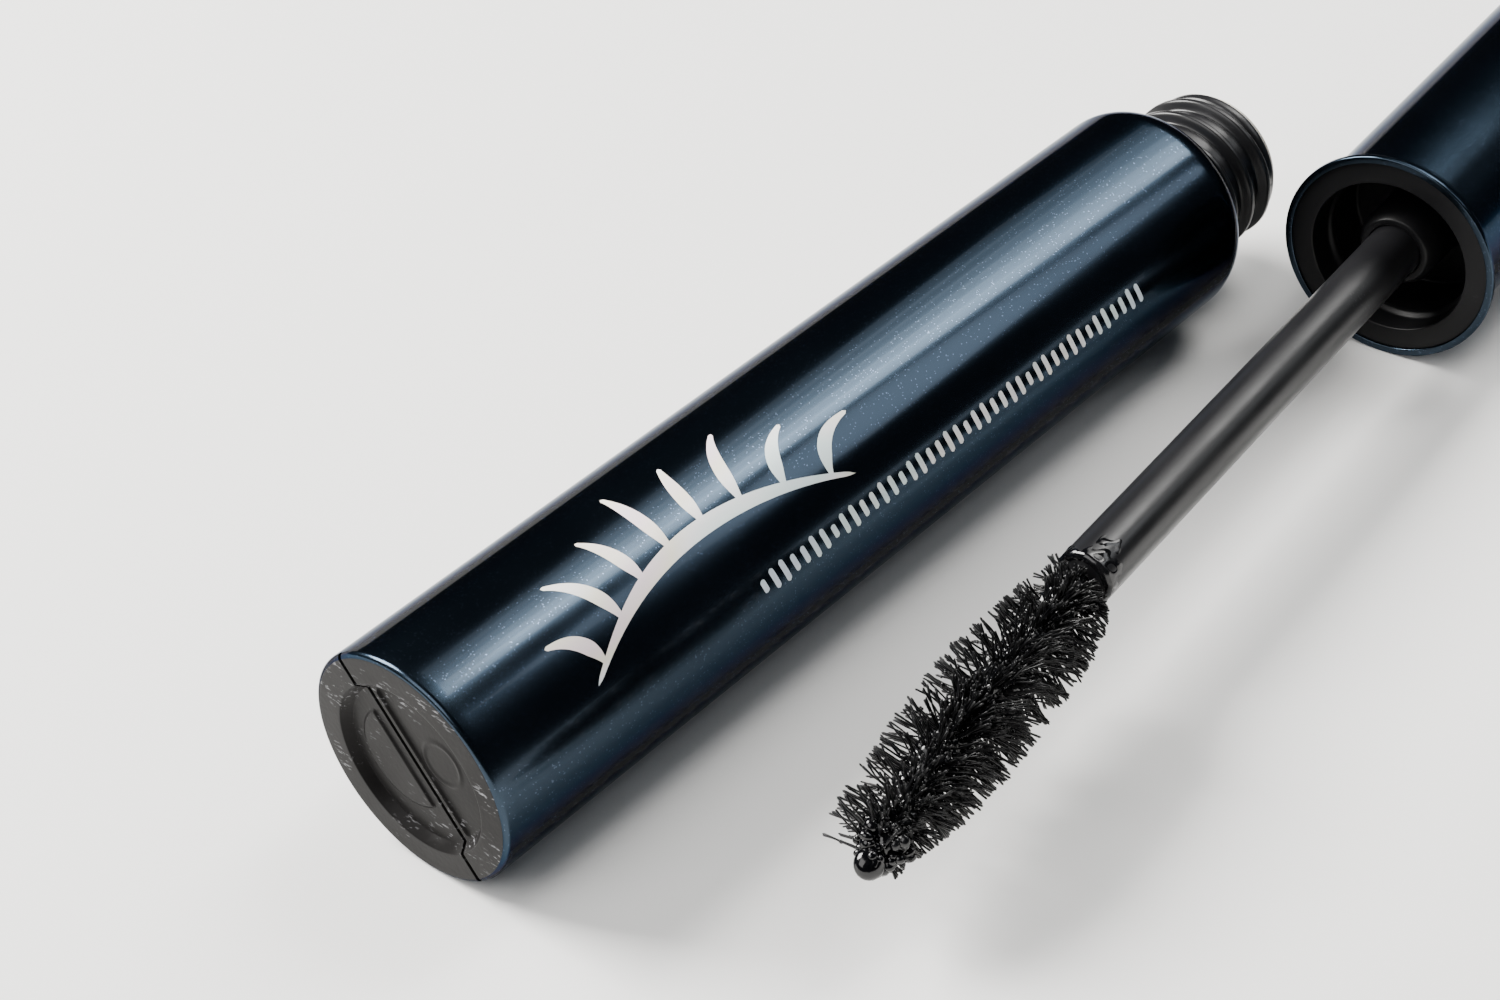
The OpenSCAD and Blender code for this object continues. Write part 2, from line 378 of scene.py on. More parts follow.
bare_base = black_plastic("bare base plastic", (0.0065, 0.006, 0.006), (0.42, 0.42, 0.44),
                          rough=0.34, ior=1.26, grain_scale=2500, grain_depth=2e-5,
                          scuff_edge=0.50, spec=0.2)
satin_black = black_plastic("satin black plastic", (0.008, 0.008, 0.009), (0.05, 0.05, 0.055),
                            rough=0.28, ior=1.40, grain_scale=1800, grain_depth=4e-6,
                            scuff_edge=0.6)
# The liner is the stem's black plastic; its darker colour is painted shade for the inside of the cap.
liner_black_painted_shade = black_plastic("liner black plastic with painted shade", (0.004, 0.004, 0.0045), (0.03, 0.03, 0.033),
                            rough=0.36, ior=1.26, grain_scale=1800, grain_depth=4e-6,
                            scuff_edge=0.6)

# %% [markdown]
# ## The bottle
# The bottle is one blow-moulded piece. Blow moulding pinches the base shut, which leaves a
# groove straight across it, deeper inside the recessed panel. A plain polar grid would cut
# that groove jagged, so each half of every ring starts and ends exactly on the groove's
# edge: at radius r that edge is at the angle whose sine is half the groove's width over r.
# Two more columns at each end of the groove make its floor. Up the body they fold into one.

# %% Sizes of the base
BASE_EDGE_R = 0.4
RECESS_R = 6.6
RECESS_FLOOR_R = 6.15
RECESS_DEPTH = 0.7
GROOVE_W = 0.4
GROOVE_DEPTH = 0.35
GROOVE_TURN = math.radians(-37.6)
HALF_COLS = 128


def ring_turns(out):
    """Turns of one ring's columns: two halves from groove edge to groove edge, close together
    near the groove, with the floor's two columns after each half."""
    share = np.linspace(0, 1, HALF_COLS)
    share = share - 0.8 * np.sin(2 * np.pi * share) / (2 * np.pi)
    edge = np.arcsin(np.clip(GROOVE_W / 2 / out, 0, 1))
    half = edge + share * (np.pi - 2 * edge)
    ends = np.concatenate([np.pi - edge, np.pi + edge], -1)
    return GROOVE_TURN - np.concatenate([half, ends, half + np.pi, ends + np.pi], -1)


FLOOR_COLS = np.r_[HALF_COLS:HALF_COLS + 2, 2 * HALF_COLS + 2:2 * HALF_COLS + 4]

# %% [markdown]
# The panel has its own low relief: a raised step on one side of the groove, a thin rib beside
# it on the other, and a plain moulded ring where a real base has a recycling mark.

# %% Relief of the base
def base_relief(out, turn):
    """How far the panel's surface stands towards the outside, in mm, at each point."""
    across = out * np.sin(turn - GROOVE_TURN)
    down = out * np.cos(turn - GROOVE_TURN)
    inside = 1 - ramp(out, RECESS_FLOOR_R - 0.5, RECESS_FLOOR_R - 0.2)
    rib = 0.22 * np.exp(-((across - 0.95) / 0.16) ** 2)
    near = np.hypot(across - 3.1, down + 0.4)
    ring = 0.07 * np.exp(-((near - 1.7) / 0.16) ** 2)
    step = 0.16 * ramp(-across, 0.9, 1.1) * (1 - ramp(np.hypot(across + 1.0, down - 0.6), 3.7, 3.95))
    return inside * (rib + ring + step)


# %% [markdown]
# The neck's thread is a height added to a plain cylinder. Its ridge climbs one pitch per turn,
# so a point is on it when its height along the axis, less its share of a pitch for its turn,
# falls on a whole number of pitches. The ridge fades in and out over an eighth of a turn.
# The neck ends in a low bead round its lip, and where thread and bead meet the higher one wins.

# %% Thread of the neck
NECK_R = 5.75
NECK_LEN = 7.4
BODY_LEN = BOTTLE_LEN - NECK_LEN
SHOULDER_R = BOTTLE_R - NECK_R
PITCH = 2.4
THREAD_H = 0.75
THREAD_START = 0.6
THREAD_TURNS = 2.5
LIP_W = 1.0
LIP_RISE = 0.4
LIP_RING_R = NECK_R + LIP_RISE


def thread(x, turn, start, turns, height, half_w=0.42, soft=0.55):
    """Height of a helical ridge: for each lap, the S curve of the distance to the helix."""
    added = np.zeros(np.broadcast(x, turn).shape)
    for lap in range(int(turns) + 2):
        laps = lap + np.mod(turn, 2 * np.pi) / (2 * np.pi)
        away = np.abs(x - start - PITCH * laps)
        lift = ramp(laps, 0, 0.125) * (1 - ramp(laps, turns - 0.125, turns))
        across = 1 - ramp(away, half_w - soft / 2, half_w + soft / 2)
        added = np.maximum(added, height * lift * across)
    return added


# %% Profile of the bottle, from the middle of the base over the outside to the inside
WALL = 1.1
BASE_T = 1.9
BORE_R = 4.75
LIP_R = 0.4
BASE_RING_ROWS = 8
BASE_EDGE_ROWS = 9
groove_side = GROOVE_W / 2
profile_panel = np.vstack([line(RECESS_DEPTH, groove_side, RECESS_DEPTH, RECESS_FLOOR_R - 0.1, 60),
                           arc(RECESS_DEPTH - 0.1, RECESS_FLOOR_R - 0.1, 0.1, 0, 60, 5),
                           arc(0.12, RECESS_R + 0.12, 0.12, -130, -180, 5)])
profile_outer = np.vstack([line(0, RECESS_R + 0.3, 0, BOTTLE_R - BASE_EDGE_R, BASE_RING_ROWS),
                           arc(BASE_EDGE_R, BOTTLE_R - BASE_EDGE_R, BASE_EDGE_R, 172, 90,
                               BASE_EDGE_ROWS),
                           line(1.2, BOTTLE_R, BODY_LEN - SHOULDER_R - 0.5, BOTTLE_R, 20),
                           arc(BODY_LEN - SHOULDER_R, NECK_R, SHOULDER_R, 90, 2, 18)])
profile_neck = np.vstack([line(BODY_LEN, NECK_R, BOTTLE_LEN - LIP_W - LIP_RISE, NECK_R, 110),
                          line(BOTTLE_LEN - LIP_W - 0.36, NECK_R + 0.04,
                               BOTTLE_LEN - LIP_W, LIP_RING_R, 8),
                          arc(BOTTLE_LEN - LIP_R, LIP_RING_R - LIP_R, LIP_R, 90, 0, 10),
                          arc(BOTTLE_LEN - 0.15, BORE_R + 0.15, 0.15, 0, -90, 5)])
profile_inside = np.vstack([line(BODY_LEN + 2, BORE_R, BODY_LEN - WALL, BORE_R, 4),
                            arc(BODY_LEN - SHOULDER_R, NECK_R, SHOULDER_R - WALL, 0, 90, 8),
                            arc(BASE_T + 1.6, BOTTLE_R - WALL - 1.6, 1.6, 90, 180, 8),
                            line(BASE_T, 5.0, BASE_T, groove_side, 4)])
profile = np.vstack([profile_panel, profile_outer, profile_neck, profile_inside])
in_panel = np.arange(len(profile)) < len(profile_panel)
print("rows of the bottle:", len(profile))

# %% Bottle
x, out = profile[:, 0, None], profile[:, 1, None]
turn = ring_turns(out)
x = np.repeat(x, turn.shape[1], axis=1)
x -= np.where(in_panel[:, None], base_relief(out, turn), 0)
groove_floor = np.where(out < RECESS_FLOOR_R, RECESS_DEPTH + GROOVE_DEPTH, GROOVE_DEPTH)
grooved_rows = len(profile_panel) + BASE_RING_ROWS + BASE_EDGE_ROWS
grooved = np.arange(len(profile))[:, None] < grooved_rows
deeper = np.where(grooved, np.maximum(x, groove_floor), x)
x[:, FLOOR_COLS] = deeper[:, FLOOR_COLS]
threaded = (x > BODY_LEN + 0.05) & (out > NECK_R - 0.02) & (x < BOTTLE_LEN - LIP_R)
raised = NECK_R + thread(x, turn, BODY_LEN + THREAD_START, THREAD_TURNS, THREAD_H)
points = bottle_axis.place(x, np.where(threaded, np.maximum(out, raised), out), turn)
corners = quads(*turn.shape)
row = np.repeat(np.arange(len(profile) - 1), turn.shape[1])
bare = row < len(profile_panel) + BASE_RING_ROWS
neck_start = len(profile_panel) + len(profile_outer)
on_neck = (row >= neck_start) & (row < neck_start + len(profile_neck))
bottle = make_piece("bottle_skin", points, corners, [lacquer, bare_base, satin_black],
                    finish=np.where(bare, 1, np.where(on_neck, 2, 0)), sharp=60)
place_piece(bottle, "bottle", "navy_lacquer", "bottle")

# %% [markdown]
# ## The wiper
# A soft plug lines the neck. Its thin flange sits on the lip and its cone ends in a small
# opening that wipes the stem. It is natural elastomer, milky and dull, stained where the
# black cream has dried on it.

# %% Wiper
rubber, tree, shader = new_material("natural elastomer")
settle(shader, Roughness=0.45, Subsurface_Weight=0.25, Subsurface_Scale=0.001)
shader.inputs["Subsurface Radius"].default_value = (1.0, 0.8, 0.6)
stain = use_group(tree, smudge, Scale=260.0, Edge=0.46)
vary_color(tree, shader, stain, (0.70, 0.68, 0.62), (0.03, 0.03, 0.035))
WIPER_BORE_R = 3.9
ORIFICE_R = 2.295
WIPER_TOP = BOTTLE_LEN + 0.5
CONE_TOP = WIPER_TOP - 6.6
profile = closed(arc(CONE_TOP - 4.35, ORIFICE_R + 0.25, 0.25, 270, 90, 9),
                 line(CONE_TOP - 0.6, BORE_R - 0.5, CONE_TOP, BORE_R, 3),
                 line(CONE_TOP + 1, BORE_R, BOTTLE_LEN, BORE_R, 4),
                 line(BOTTLE_LEN, BORE_R + 0.3, BOTTLE_LEN, LIP_RING_R - LIP_R - 0.2, 3),
                 arc(WIPER_TOP - 0.2, LIP_RING_R - LIP_R - 0.2, 0.2, 80, 0, 6),
                 arc(WIPER_TOP - 0.2, WIPER_BORE_R + 0.2, 0.2, 0, -90, 6),
                 line(CONE_TOP + 2, WIPER_BORE_R, CONE_TOP, WIPER_BORE_R, 3),
                 line(CONE_TOP - 0.4, WIPER_BORE_R - 0.1, CONE_TOP - 3.9, ORIFICE_R + 0.05, 6))
wiper = make_piece("wiper_plug", *turned(bottle_axis, profile), [rubber])
place_piece(wiper, "bottle", "wiper_rubber", "wiper")

# %% [markdown]
# ## The cap
# The cap's shell is the same lacquer. It is narrower than the bottle and flares out at its
# mouth in a short concave curve, to a thin rim as wide as the bottle.

# %% Cap shell
CAP_R = 8.0
CAP_LEN = 47.0
SHELL_T = 0.6
RIM_T = 0.5
FLARE = 1.4
FLANGE_R = BOTTLE_R - 0.6
FLANGE_X = 0.15
profile = closed(arc(0.08, FLANGE_R + 0.08, 0.08, 260, 180, 5),
                 arc(0.14, BOTTLE_R - 0.14, 0.14, 180, 90, 7),
                 arc(RIM_T - 0.1, BOTTLE_R - 0.1, 0.1, 90, 20, 5),
                 arc(RIM_T + FLARE, CAP_R + FLARE, FLARE, 212, 268, 16),
                 line(RIM_T + FLARE + 0.3, CAP_R, CAP_LEN - 1.2, CAP_R, 16),
                 arc(CAP_LEN - 1, CAP_R - 1, 1, 90, 0, 12),
                 line(CAP_LEN, CAP_R - 1.6, CAP_LEN, 0, 5),
                 line(CAP_LEN - 1, 0, CAP_LEN - 1, CAP_R - SHELL_T, 4),
                 line(CAP_LEN - 2, CAP_R - SHELL_T, 0.75, CAP_R - SHELL_T, 6),
                 line(0.75, FLANGE_R - 0.4, 0.75, FLANGE_R, 3),
                 line(0.5, FLANGE_R, 0.2, FLANGE_R, 2))
points, corners = turned(applicator_axis, profile, cols=160)
shell = make_piece("cap_skin", points, corners, [lacquer], sharp=38)
place_piece(shell, "cap_and_brush", "navy_lacquer", "cap_shell")

# %% [markdown]
# The liner inside it is black. Its flange fills the rim, its own thread faces inwards, and a
# boss in the middle grips the stem.

# %% Cap liner
ROOT_R = 6.6
STEM_R = 2.225
SOCKET_R = STEM_R + 0.04
BOSS_R = 3.3
WEB_X = 7.7
WEB_TOP = 9.2
LINER_LEN = 15.0
profile = closed(arc(FLANGE_X + 0.12, ROOT_R + 0.12, 0.12, 260, 180, 6),
                 arc(FLANGE_X + 0.06, FLANGE_R - 0.06, 0.06, 180, 90, 4),
                 line(0.75, FLANGE_R, 0.75, CAP_R - SHELL_T, 3),
                 line(2, CAP_R - SHELL_T, LINER_LEN, CAP_R - SHELL_T, 4),
                 line(LINER_LEN, ROOT_R, WEB_TOP, ROOT_R, 4),
                 line(WEB_TOP, BOSS_R, LINER_LEN, BOSS_R, 4),
                 line(LINER_LEN, SOCKET_R, 1.3, SOCKET_R, 4),
                 arc(1.32, SOCKET_R + 0.12, 0.12, 225, 180, 4),
                 arc(1.2 + 0.25, BOSS_R - 0.65, 0.25, 180, 120, 6),
                 line(2.0, BOSS_R, WEB_X - 0.3, BOSS_R, 4),
                 arc(WEB_X - 0.3, BOSS_R + 0.3, 0.3, -90, 0, 6),
                 arc(WEB_X - 0.3, ROOT_R - 0.3, 0.3, 0, 90, 6),
                 line(WEB_X - 0.5, ROOT_R, FLANGE_X + 0.2, ROOT_R, 76))


def liner_thread(x, out, turn):
    """The cap's ridge points inwards, so it takes away from the wall it stands on."""
    wall = (np.abs(out - ROOT_R) < 0.01) & (x < WEB_X - 0.35)
    return np.where(wall, -thread(x, turn, 1.5, 1.25, 0.35), 0)


points, corners = turned(applicator_axis, profile, cols=160, swell=liner_thread)
liner = make_piece("cap_liner", points, corners, [liner_black_painted_shade])
place_piece(liner, "cap_and_brush", "black_plastic", "inner_cap")

# %% [markdown]
# ## The stem
# A plain round rod. Near the brush it carries a wrinkled film of half-dry cream, made as a
# second skin: a tube whose radius is a hair less than the stem's where there is no film and
# rises above it, in wrinkles, where there is.

# %% Stem and the film on it
STEM_OUT = 46.7
STEM_IN = 13.0
profile = np.vstack([line(-STEM_OUT, 0, -STEM_OUT, STEM_R - 0.5, 4),
                     arc(0.5 - STEM_OUT, STEM_R - 0.5, 0.5, 180, 90, 9),
                     line(-44, STEM_R, STEM_IN - 0.3, STEM_R, 24),
                     arc(STEM_IN - 0.2, STEM_R - 0.2, 0.2, 90, 0, 5),
                     line(STEM_IN, STEM_R - 0.4, STEM_IN, 0, 3)])
stem = make_piece("stem_rod", *turned(applicator_axis, profile, cols=96), [satin_black])
place_piece(stem, "stem", "black_plastic", "stem")

# %% [markdown]
# The cream is black, wet and lumpy: a very dark base with low roughness, and a bump of two
# sizes so that it breaks its highlights into specks.

# %% Wet cream
cream, tree, shader = new_material("wet cream")
settle(shader, IOR=1.45)
dry = use_group(tree, smudge, Scale=420.0, Edge=0.48)
vary_color(tree, shader, dry, (0.0015, 0.0015, 0.002), (0.008, 0.008, 0.009))
vary_roughness(tree, shader, dry, 0.10, 0.34)
spot = tree.nodes.new("ShaderNodeTexCoord")
lumps = tree.nodes.new("ShaderNodeTexNoise")
lumps.inputs["Scale"].default_value = 2600
lumps.inputs["Detail"].default_value = 3
wire(tree, spot, "Object", lumps, "Vector")
add_bump(tree, shader, lumps, "Fac", 0.35, 3e-5)

# %% Film on the stem
def film_height(x, out, turn):
    """Wrinkles in mm: three crossing sine waves, kept to the end of the stem and fading with
    distance from it, further up on the upper side."""
    reach = 1.6 + 1.8 * np.exp(-((turn - 0.5) / 0.8) ** 2) + 1.2 * np.exp(-((turn - 4.4) / 0.6) ** 2)
    reach = reach + 0.4 * np.sin(5 * turn) + 0.3 * np.sin(11 * turn + 1)
    cover = 1 - ramp(x + STEM_OUT, reach - 1.0, reach)
    folds = np.sin(9 * turn + 3.1 * x) + np.sin(14 * turn - 4.7 * x + 2) + np.sin(5.3 * x - 4 * turn)
    return cover * (0.06 + 0.018 * folds) - 0.03


profile = closed(line(-STEM_OUT - 0.02, STEM_R - 0.6, -STEM_OUT - 0.02, STEM_R - 0.25, 3),
                 line(-STEM_OUT + 0.25, STEM_R - 0.02, -STEM_OUT + 6.4, STEM_R - 0.01, 90),
                 line(-STEM_OUT + 6.4, STEM_R - 0.3, -STEM_OUT + 0.3, STEM_R - 0.6, 4))


def film(x, out, turn):
    """Only the film's outer wall has wrinkles; its inner wall stays inside the stem."""
    return np.where(out > STEM_R - 0.1, film_height(x, out, turn), 0)


points, corners = turned(applicator_axis, profile, cols=192, swell=film)
smear = make_piece("stem_film", points, corners, [cream], sharp=60)
place_piece(smear, "stem", "formula", "stem")

# %% [markdown]
# ## The twisted wire
# Two wires are folded round the fibres, twisted and bent into a shallow arc. Each strand is a
# small circle carried round a helix: its centre turns about the axis as it goes along.

# %% Wire core
steel, tree, shader = new_material("twisted steel")
settle(shader, Metallic=1.0)
shade = use_group(tree, smudge, Scale=700.0, Edge=0.4)
vary_color(tree, shader, shade, (0.42, 0.42, 0.43), (0.05, 0.05, 0.055))
vary_roughness(tree, shader, shade, 0.25, 0.5)
BRUSH_START = -STEM_OUT - 0.2
BRUSH_LEN = 28.6
BRUSH_END = BRUSH_START - BRUSH_LEN
STRAND_R = 0.37
TWIST = 3.4
STRAND_ROWS = 360
STRAND_COLS = 12
WIRE_IN = 6.8
BEND = 2.4
BEND_LEAD = 1.0
BEND_R = ((BRUSH_LEN - BEND_LEAD) ** 2 + BEND ** 2) / (2 * BEND)
wire_axis = BentAxis(applicator_axis, BRUSH_START - BEND_LEAD, BEND_R, math.radians(122))


def strand(phase):
    """A circle round a helix: the centre stands one strand radius off the axis."""
    x = np.linspace(BRUSH_END, BRUSH_START + WIRE_IN, STRAND_ROWS)[:, None]
    lead = 2 * np.pi * x / TWIST + phase
    around = np.linspace(0, 2 * np.pi, STRAND_COLS, endpoint=False)
    swell = np.where((x > BRUSH_END) & (x < BRUSH_START + WIRE_IN), STRAND_R, 0)
    up = STRAND_R * np.cos(lead) + swell * np.cos(around)
    aside = STRAND_R * np.sin(lead) + swell * np.sin(around)
    points = wire_axis.place(x, np.hypot(up, aside), np.arctan2(aside, up))
    return points, quads(STRAND_ROWS, STRAND_COLS)


shapes = [(points.reshape(-1, 3), corners) for points, corners in (strand(0), strand(np.pi))]
wire_core = make_piece("twisted_wire", *join(shapes), [steel])
place_piece(wire_core, "cap_and_brush", "steel_wire", "wire_core")

# %% [markdown]
# ## The brush
# The fibres stand in the twist of the wire and were trimmed to a crescent: straight on one
# side, for lifting, and bowed on the other, for curling. The trim is a length for each place
# along the brush and each turn round it, so every fibre looks up how long it is.

# %% Trim of the bristles
BOW_TURN = math.radians(105)


def trim(x, turn):
    """Length from the wire: on the hollow side 2.9 mm by the stem rising to 4, and on the bowed
    side an arc that rises from 2.3 mm at the ends to 4.8 mm before the middle. A few are
    shorter by the stem, on the upper side."""
    along = (BRUSH_START - x) / BRUSH_LEN
    hollow = 2.9 + 1.1 * ramp(along, 0, 0.55)
    bowed = 2.3 + 2.5 * np.clip(1 - np.abs((along - 0.45) / 0.50) ** 2.2, 0, 1) ** 0.8
    share = (1 + np.cos(turn - BOW_TURN)) / 2
    near_stem = np.exp(-(along / 0.05) ** 2) * ramp(np.cos(turn - 0.7), 0, 0.8)
    full = hollow + (bowed - hollow) * ramp(share, 0.1, 0.75)
    return full * (1 - 0.4 * near_stem)


# %% [markdown]
# All fibres are computed at once. They come in clumps of two or three whose tips cling
# together, and the hollow side has fewer clumps. Each fibre is a triangle swept through five
# rings, so it needs only a dozen faces. It bends a little, and is thicker near the tip where
# cream has gathered.

# %% Fibres
rng = np.random.default_rng(7)
CLUMPS = 900
clump_x = BRUSH_START - 0.25 - (BRUSH_LEN - 0.5) * rng.random(CLUMPS)
side_of_wire = np.pi * rng.integers(0, 2, CLUMPS)
clump_turn = 2 * np.pi * clump_x / TWIST + side_of_wire + rng.normal(0, 1.0, CLUMPS)
clump_lean = rng.normal(-0.15, 0.38, CLUMPS)
size = rng.choice([2, 2, 3, 3], CLUMPS)
thinned = (np.cos(clump_turn - BOW_TURN) < -0.2) & (rng.random(CLUMPS) < 0.45)
size = np.where(thinned, 0, size)
clump = np.repeat(np.arange(CLUMPS), size)
FIBRES = len(clump)
root_x = clump_x[clump] + rng.normal(0, 0.42, FIBRES)
root_turn = clump_turn[clump] + rng.normal(0, 0.12, FIBRES)
tip_x = clump_x[clump] + clump_lean[clump] + rng.normal(0, 0.16, FIBRES)
tip_x = np.clip(tip_x, BRUSH_END - 0.5, BRUSH_START - 0.1)
tip_turn = clump_turn[clump] + rng.normal(0, 0.045, FIBRES) + rng.normal(0, 0.05, CLUMPS)[clump]
length = trim(tip_x, tip_turn) * (1 + rng.normal(0, 0.018, FIBRES) - 0.10 * rng.random(FIBRES) ** 4)
bend = rng.normal(0, 0.12, FIBRES)
thick = rng.uniform(0.062, 0.088, FIBRES)

RINGS = np.array([0.0, 0.35, 0.72, 0.97, 1.0])
GIRTH = np.array([1.0, 1.0, 1.05, 1.25, 0.0])


def fibres():
    """Each fibre runs from its root to its tip; a sine of the way along gives its bend. Round
    it, three corners stand off its middle line in the directions along and across the axis."""
    way = RINGS[None, :]
    x = root_x[:, None] + (tip_x - root_x)[:, None] * way + bend[:, None] * np.sin(np.pi * way)
    out = 0.3 + (length - 0.3)[:, None] * way
    turn = root_turn[:, None] + (tip_turn - root_turn)[:, None] * way
    middle = wire_axis.place(x, out, turn)
    across = wire_axis.place(x, out, turn + 1e-3) - middle
    across /= np.linalg.norm(across, axis=-1, keepdims=True)
    around = np.radians([0, 120, 240])
    girth = (MM * thick[:, None] * GIRTH)[..., None, None]
    corner = np.cos(around)[:, None] * applicator_axis.along
    corner = corner + np.sin(around)[:, None] * across[..., None, :]
    points = middle[..., None, :] + girth * corner
    one = quads(len(RINGS), 3)
    starts = np.arange(FIBRES)[:, None, None] * len(RINGS) * 3
    return points.reshape(-1, 3), (one + starts).reshape(-1, 4)


nylon, tree, shader = new_material("fibre wet with cream")
settle(shader, IOR=1.36)
film_on = use_group(tree, smudge, Scale=900.0, Edge=0.5)
vary_color(tree, shader, film_on, (0.0015, 0.0015, 0.002), (0.006, 0.006, 0.007))
vary_roughness(tree, shader, film_on, 0.42, 0.2)
bristles = make_piece("bristle_fibres", *fibres(), [nylon], sharp=180)
place_piece(bristles, "cap_and_brush", "bristle_fibre", "bristles")

# %% [markdown]
# ## Cream on the brush
# Between the fibres the cream fills the middle of the brush, so little light comes through
# there. It is a tube round the wire whose radius wanders. On the fibres it sits in beads,
# each a small ball of few faces squeezed at random.

# %% Cream round the wire
def core_height(x, out, turn):
    """Sine waves that cross at several angles, faded at both ends of the brush."""
    waves = np.sin(3 * turn + 2.1 * x) + np.sin(5 * turn - 3.3 * x + 1)
    waves = waves + 0.7 * np.sin(9 * turn + 6.3 * x)
    ends = ramp(x, BRUSH_END - 0.2, BRUSH_END + 1.2) * (1 - ramp(x, BRUSH_START - 1.2, BRUSH_START))
    return np.where(out > 0.5, ends * (0.55 + 0.16 * waves), 0)


profile = closed(line(BRUSH_END, 0.42, BRUSH_END, 0.8, 3),
                 line(BRUSH_END + 0.15, 0.85, BRUSH_START - 0.1, 0.85, 150),
                 line(BRUSH_START - 0.05, 0.8, BRUSH_START - 0.05, 0.42, 3))
points, corners = turned(wire_axis, profile, cols=96, swell=core_height)
core = make_piece("cream_core", points, corners, [cream], sharp=60)
place_piece(core, "cap_and_brush", "formula", "formula_bead")

# %% Beads of cream
def beads(x, out, turn, radius, rows=5, cols=6):
    """Balls of rows by cols points about each place, squeezed and turned at random."""
    count = len(x)
    middle = wire_axis.place(x, out, turn)
    lat = np.linspace(0, np.pi, rows)[:, None]
    lon = np.linspace(0, 2 * np.pi, cols, endpoint=False)
    ball = np.stack([np.sin(lat) * np.cos(lon), np.sin(lat) * np.sin(lon), np.cos(lat) + 0 * lon], -1)
    squeeze = rng.uniform(0.7, 1.35, (count, 1, 1, 3)) * MM * radius[:, None, None, None]
    spin = np.linalg.qr(rng.normal(size=(count, 3, 3)))[0]
    spin = spin * np.sign(np.linalg.det(spin))[:, None, None]
    balls = np.einsum("nrcj,nij->nrci", ball[None] * squeeze, spin)
    starts = np.arange(count)[:, None, None] * rows * cols
    corners = quads(rows, cols)[:, ::-1] + starts
    return (middle[:, None, None] + balls).reshape(-1, 3), corners.reshape(-1, 4)


BEADS = 1500
pick = rng.integers(0, FIBRES, BEADS)
share = rng.beta(1.5, 1.6, BEADS)
radius = rng.uniform(0.07, 0.19, BEADS) * (1.25 - 0.6 * share)
drops = beads(root_x[pick] + (tip_x - root_x)[pick] * share, 0.3 + (length[pick] - 0.3) * share,
              root_turn[pick] + (tip_turn - root_turn)[pick] * share, radius)
specks = make_piece("cream_beads", *drops, [cream], sharp=80)
place_piece(specks, "cap_and_brush", "formula", "formula_bead")

# %% [markdown]
# At the tip the fibres are matted into a clump, and a last bead hangs where the wire ends.

# %% Clump and bead at the tip
CLOTS = 90
clot_x = BRUSH_END + 1.3 - 2.2 * rng.random(CLOTS)
clot_turn = rng.uniform(0, 2 * np.pi, CLOTS)
clot_out = 0.3 + np.minimum(1.9, 0.75 * (clot_x - BRUSH_END + 1.4)) * np.sqrt(rng.random(CLOTS))
clots = beads(clot_x, clot_out, clot_turn, rng.uniform(0.22, 0.48, CLOTS), rows=8, cols=10)
last = beads(np.array([BRUSH_END - 0.85]), np.zeros(1), np.zeros(1), np.array([0.95]), rows=20, cols=24)
tip = make_piece("tip_clump", *join([clots, last]), [cream], sharp=80)
place_piece(tip, "cap_and_brush", "formula", "formula_bead")

# %% [markdown]
# ## The foil ornament
# A bright foil is stamped on the lacquer: a flourish of brushed strokes, like lashes on a
# lid, and a row of slanted marks below it. Each mark is a thin closed ribbon wrapped on the
# bottle. It is laid out flat, along the bottle and round it in mm, and the round distance
# over the bottle's radius gives the turn. The foil splits light a little, so its white drifts
# through pale hues along the bottle.

# %% Foil
foil, tree, shader = new_material("holographic foil")
settle(shader, Metallic=0.0, IOR=1.6)
spot = tree.nodes.new("ShaderNodeTexCoord")
stretch = tree.nodes.new("ShaderNodeMapping")
stretch.inputs["Scale"].default_value = (70, 160, 160)
drift = tree.nodes.new("ShaderNodeTexNoise")
drift.inputs["Scale"].default_value = 1
drift.inputs["Detail"].default_value = 1
hues = tree.nodes.new("ShaderNodeValToRGB")
PALE_HUES = [(0.30, (0.80, 0.90, 1.0)), (0.42, (0.84, 1.0, 0.98)), (0.50, (1.0, 1.0, 1.0)),
             (0.60, (1.0, 0.95, 0.78)), (0.70, (1.0, 0.84, 0.89))]
while len(hues.color_ramp.elements) < len(PALE_HUES):
    hues.color_ramp.elements.new(0.5)
for stop, (place, color) in zip(hues.color_ramp.elements, PALE_HUES):
    stop.position = place
    stop.color = (*color, 1)
wire(tree, spot, "Object", stretch, "Vector")
wire(tree, stretch, "Vector", drift, "Vector")
wire(tree, drift, "Fac", hues, "Fac")
tree.links.new(hues.outputs["Color"], shader.inputs["Base Color"])
haze = use_group(tree, smudge, Scale=400.0, Edge=0.45)
vary_roughness(tree, shader, haze, 0.28, 0.42)

# %% Ribbons wrapped on the bottle
FOIL_RISE = 0.012
FOIL_SINK = 0.03


def ribbon(centre, width):
    """A closed strip: eight corners round each point of the centre line, four below the lacquer
    and four above, set off to both sides along the line's normal."""
    heading = np.gradient(centre, axis=0)
    heading /= np.linalg.norm(heading, axis=1, keepdims=True)
    normal = np.stack([-heading[:, 1], heading[:, 0]], -1)
    side = np.array([-1, -0.96, -0.3, 0.3, 0.96, 1, 0.3, -0.3])
    lift = np.repeat([-FOIL_SINK, FOIL_RISE, -FOIL_SINK], [1, 4, 3])
    flat = centre[:, None] + normal[:, None] * (width[:, None] / 2 * side)[..., None]
    points = bottle_axis.place(flat[..., 0], BOTTLE_R + lift, flat[..., 1] / BOTTLE_R)
    return points.reshape(-1, 3), quads(len(centre), len(side))


